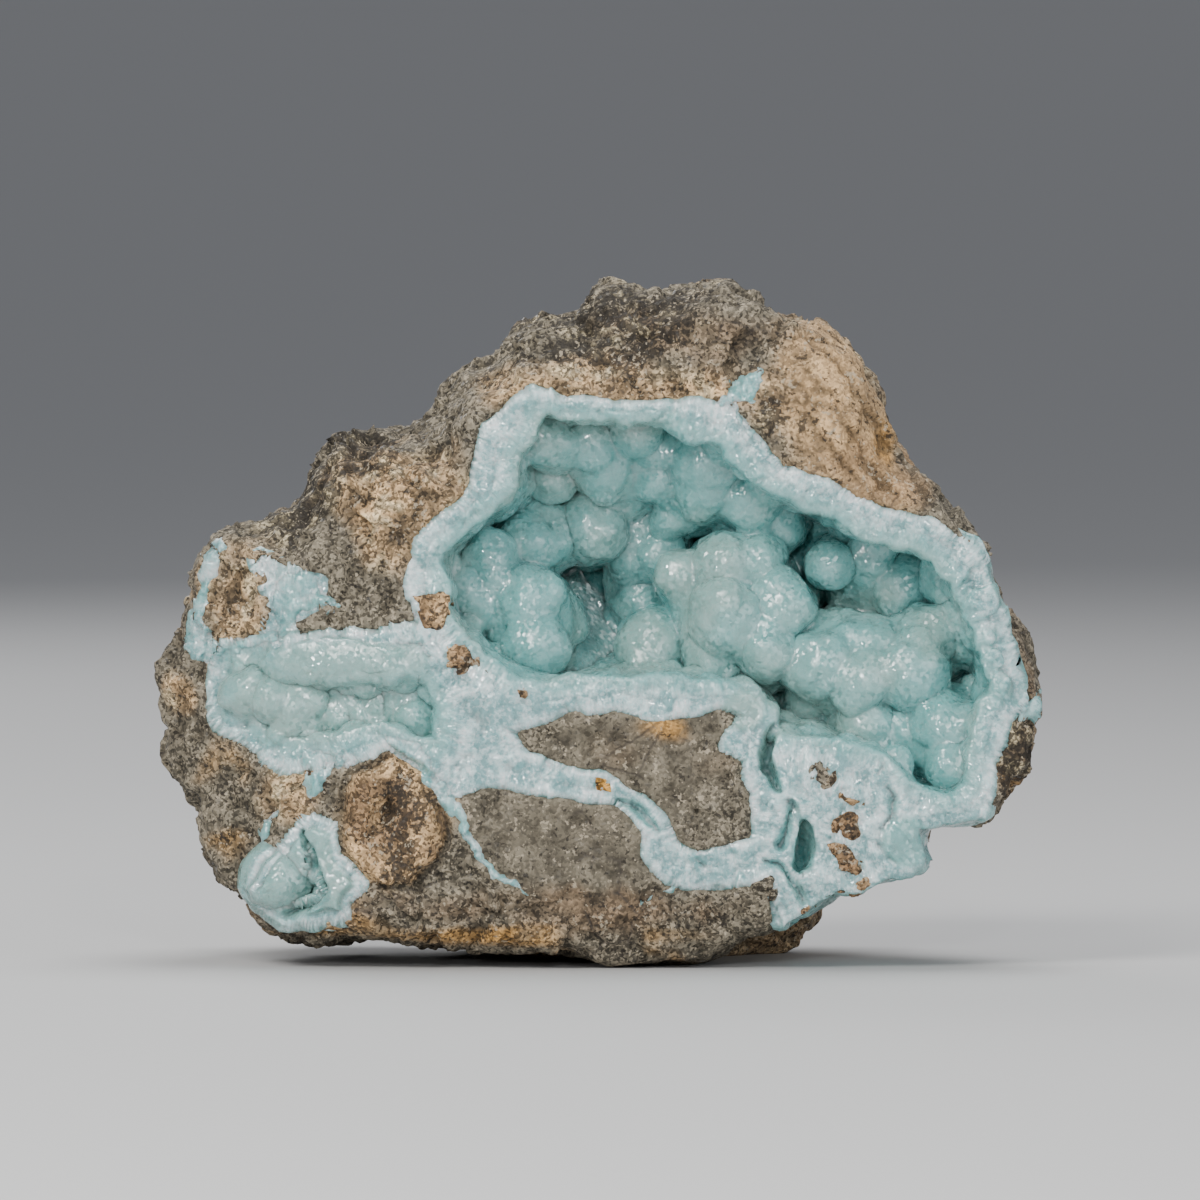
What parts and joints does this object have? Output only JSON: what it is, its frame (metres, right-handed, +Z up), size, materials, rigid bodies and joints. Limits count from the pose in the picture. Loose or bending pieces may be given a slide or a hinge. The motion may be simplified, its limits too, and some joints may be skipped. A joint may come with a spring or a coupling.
{
  "type": "hemimorphite specimen",
  "caption": "Rugged lump of volcanic rock broken open in front, its hollows lined with a thick crust of rounded aqua hemimorphite lumps; rests on its flat underside.",
  "frame": {"origin": "centre of the underside of the specimen's box, on the surface it rests on", "axes": "+X along the specimen's length, to the right as the open front is seen; -Y out of the open front; +Z up"},
  "size_m": [0.1182, 0.0646, 0.0917],
  "materials": {
    "matrix": "rough grey and tan volcanic rock, dull and granular",
    "main_crust": "translucent aqua crystal crust, sparkling lumps and a pale fibrous broken edge",
    "pocket_crust": "translucent aqua crystal crust, sparkling lumps and a pale fibrous broken edge"
  },
  "bodies": {
    "root": {"matrix": "matrix", "main_crust": "main_crust", "pocket_crust": "pocket_crust"}
  },
  "joints": []
}
